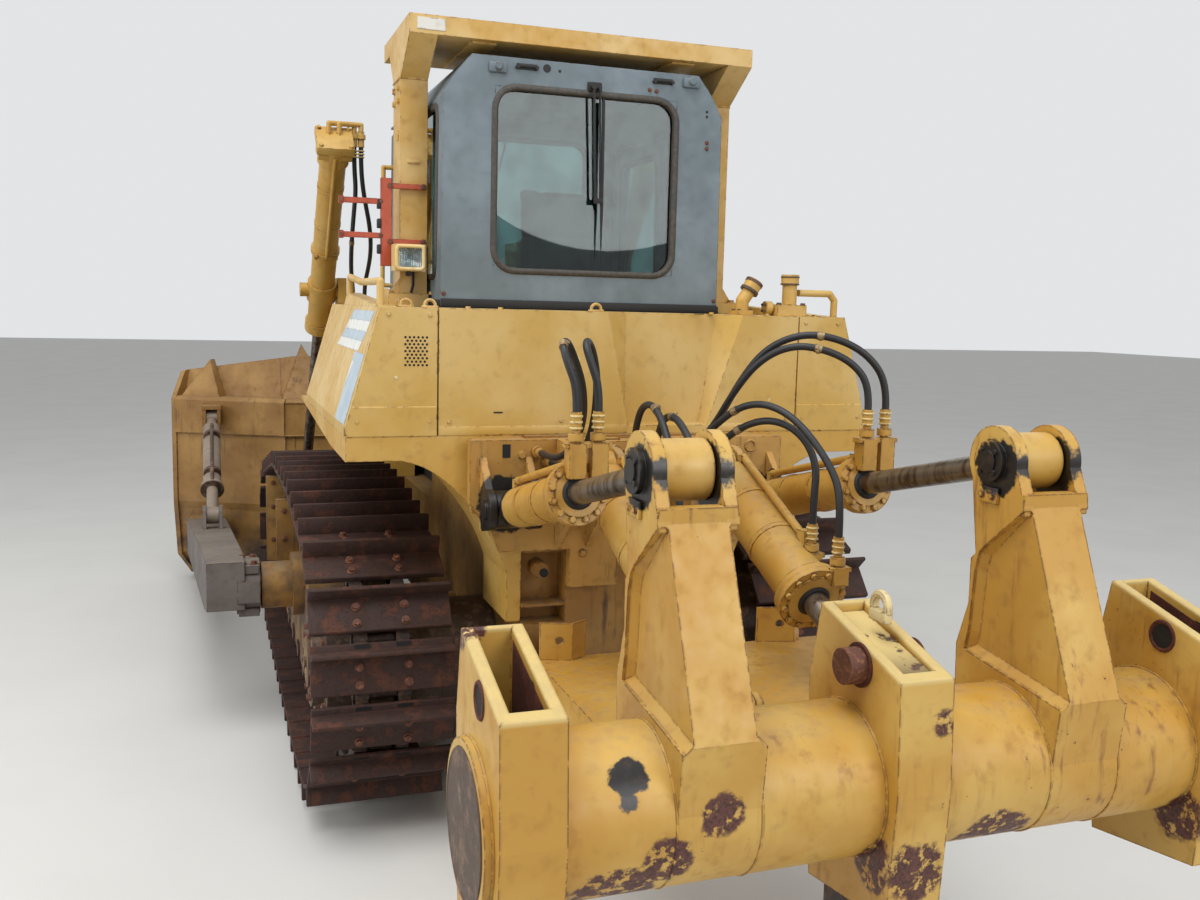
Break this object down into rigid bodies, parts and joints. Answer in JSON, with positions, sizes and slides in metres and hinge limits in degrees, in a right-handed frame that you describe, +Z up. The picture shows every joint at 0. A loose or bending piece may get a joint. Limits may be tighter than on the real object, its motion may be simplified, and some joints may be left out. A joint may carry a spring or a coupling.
{
  "type": "crawler bulldozer",
  "caption": "Crawler bulldozer with enclosed cab, two-post roll-over frame, wide push blade and a rear ripper beam with pockets for shanks.",
  "frame": {"origin": "on the ground under the middle of the whole machine", "axes": "+Y forwards to the blade, +X to the right, +Z up"},
  "size_m": [3.9858, 7.7186, 3.64],
  "materials": {
    "track_rust": "rusty cast steel",
    "bare_steel": "worn steel",
    "yellow_paint": "weathered yellow enamel",
    "cab_paint": "weathered grey-blue enamel",
    "clear_glass": "tinted glass",
    "chrome_rod": "chromed rod",
    "dark_steel": "dark worn steel",
    "seat_vinyl": "black vinyl",
    "dark_plastic": "dark plastic",
    "lamp_body": "lamp housing",
    "red_paint": "red-orange paint",
    "grey_paint": "rusty grey paint",
    "hose_rubber": "black hose"
  },
  "bodies": {
    "machine": {"air_intake": "yellow_paint", "cab_console": "dark_plastic", "cab_glass": "clear_glass", "cab_mounts": "hose_rubber", "cab_seat": "seat_vinyl", "cab_shell": "cab_paint", "engine": "dark_steel", "exhaust_stack": "dark_steel", "fenders": "yellow_paint", "front_grille": "dark_steel", "hood": "yellow_paint", "hose_blade_left_a": "hose_rubber", "hose_blade_left_b": "hose_rubber", "hose_lift_left_a": "hose_rubber", "hose_lift_left_b": "hose_rubber", "hose_lift_right_a": "hose_rubber", "hose_lift_right_b": "hose_rubber", "hose_tilt_left_a": "hose_rubber", "hose_tilt_left_b": "hose_rubber", "hose_tilt_right_a": "hose_rubber", "hose_tilt_right_b": "hose_rubber", "hull": "yellow_paint", "idlers": "bare_steel", "leg_clamp": "red_paint", "lift_yokes": "yellow_paint", "radiator_guard": "yellow_paint", "rear_doors": "yellow_paint", "rear_tank": "yellow_paint", "ripper_mounts": "yellow_paint", "rollover_frame": "yellow_paint", "side_boxes": "yellow_paint", "sprockets": "bare_steel", "tank_fittings": "yellow_paint", "track_frames": "yellow_paint", "track_left": "track_rust", "track_right": "track_rust", "track_rollers": "bare_steel", "work_lamp": "lamp_body"},
    "blade_frame": {"push_arms": "grey_paint", "blade": "yellow_paint", "blade_struts": "grey_paint", "cutting_edges": "dark_steel"},
    "lift_barrel_pair": {"lift_barrels": "yellow_paint"},
    "lift_rod_pair": {"lift_rods": "chrome_rod"},
    "ripper_arm": {"ripper_arm": "yellow_paint"},
    "ripper_pin_pair": {"ripper_pins": "dark_steel"},
    "ripper_beam": {"ripper_beam": "yellow_paint", "ripper_shank": "dark_steel", "shank_pin": "dark_steel"},
    "tilt_barrel_pair": {"tilt_barrels": "yellow_paint"},
    "tilt_rod_pair": {"tilt_rods": "chrome_rod"},
    "ripper_lift_barrel_pair": {"ripper_lift_barrels": "yellow_paint"},
    "ripper_lift_rod_pair": {"ripper_lift_rods": "chrome_rod"},
    "cab_door_left": {"cab_door_left": "cab_paint", "door_glass_left": "clear_glass"},
    "cab_door_right": {"cab_door_right": "cab_paint", "door_glass_right": "clear_glass"},
    "engine_door_left": {"engine_door_left": "yellow_paint"},
    "engine_door_right": {"engine_door_right": "yellow_paint"}
  },
  "joints": [
    {"name": "blade_lift", "type": "hinge", "parent": "machine", "child": "blade_frame", "pos_m": [0, 0.10868, 0.792], "axis": [1, 0, 0], "range_deg": [0, 20]},
    {"name": "lift_barrel_swing", "type": "hinge", "parent": "machine", "child": "lift_barrel_pair", "pos_m": [0, 1.47868, 2.422], "axis": [1, 0, 0], "range_deg": [0, 21.39], "deforming": ["hose_blade_left_a", "hose_blade_left_b"]},
    {"name": "lift_rod_slide", "type": "slide", "parent": "lift_barrel_pair", "child": "lift_rod_pair", "axis": [0, -0.6795, 0.7337], "range_m": [0, 0.73813]},
    {"name": "ripper_lift", "type": "hinge", "parent": "machine", "child": "ripper_arm", "pos_m": [0, -1.76132, 0.76], "axis": [-1, 0, 0], "range_deg": [0, 20]},
    {"name": "ripper_pin_turn", "type": "hinge", "parent": "ripper_arm", "child": "ripper_pin_pair", "pos_m": [0, -3.30632, 0.985], "axis": [-1, 0, 0], "range_deg": [-20, 0]},
    {"name": "ripper_pitch", "type": "hinge", "parent": "ripper_pin_pair", "child": "ripper_beam", "pos_m": [0, -3.30632, 0.985], "axis": [-1, 0, 0], "range_deg": [0, 24]},
    {"name": "ripper_lift_barrel_swing", "type": "hinge", "parent": "machine", "child": "ripper_lift_barrel_pair", "pos_m": [0, -2.00132, 1.708], "axis": [-1, 0, 0], "range_deg": [0, 20.1], "deforming": ["hose_lift_left_a", "hose_lift_left_b", "hose_lift_right_a", "hose_lift_right_b"]},
    {"name": "ripper_lift_rod_slide", "type": "slide", "parent": "ripper_lift_barrel_pair", "child": "ripper_lift_rod_pair", "axis": [0, 0.9143, 0.4049], "range_m": [0, 0.33962]},
    {"name": "tilt_barrel_swing", "type": "hinge", "parent": "machine", "child": "tilt_barrel_pair", "pos_m": [0, -1.80132, 1.524], "axis": [-1, 0, 0], "range_deg": [0, 19.69], "deforming": ["hose_tilt_left_a", "hose_tilt_left_b", "hose_tilt_right_a", "hose_tilt_right_b"]},
    {"name": "tilt_rod_slide", "type": "slide", "parent": "tilt_barrel_pair", "child": "tilt_rod_pair", "axis": [0, 0.9718, -0.2358], "range_m": [0, 0.38859]},
    {"name": "cab_door_left_swing", "type": "hinge", "parent": "machine", "child": "cab_door_left", "pos_m": [-0.731, -0.33832, 2.4], "axis": [0, 0, 1], "range_deg": [0, 85]},
    {"name": "cab_door_right_swing", "type": "hinge", "parent": "machine", "child": "cab_door_right", "pos_m": [0.731, -0.33832, 2.4], "axis": [0, 0, -1], "range_deg": [0, 85]},
    {"name": "engine_door_left_swing", "type": "hinge", "parent": "machine", "child": "engine_door_left", "pos_m": [-0.541, 1.33768, 1.9], "axis": [0, 0, -1], "range_deg": [0, 80]},
    {"name": "engine_door_right_swing", "type": "hinge", "parent": "machine", "child": "engine_door_right", "pos_m": [0.541, 1.33768, 1.9], "axis": [0, 0, 1], "range_deg": [0, 80]}
  ],
  "couplings": [
    {"joint": "lift_barrel_swing", "follows": "blade_lift", "ratio": 1.0696},
    {"joint": "lift_rod_slide", "follows": "blade_lift", "m_per_rad": 2.1146},
    {"joint": "ripper_pin_turn", "follows": "ripper_lift", "ratio": -1},
    {"joint": "ripper_lift_barrel_swing", "follows": "ripper_lift", "ratio": 1.0052},
    {"joint": "ripper_lift_rod_slide", "follows": "ripper_lift", "m_per_rad": 0.97293},
    {"joint": "tilt_barrel_swing", "follows": "ripper_lift", "ratio": 0.98471},
    {"joint": "tilt_rod_slide", "follows": "ripper_pitch", "m_per_rad": 0.9277}
  ]
}
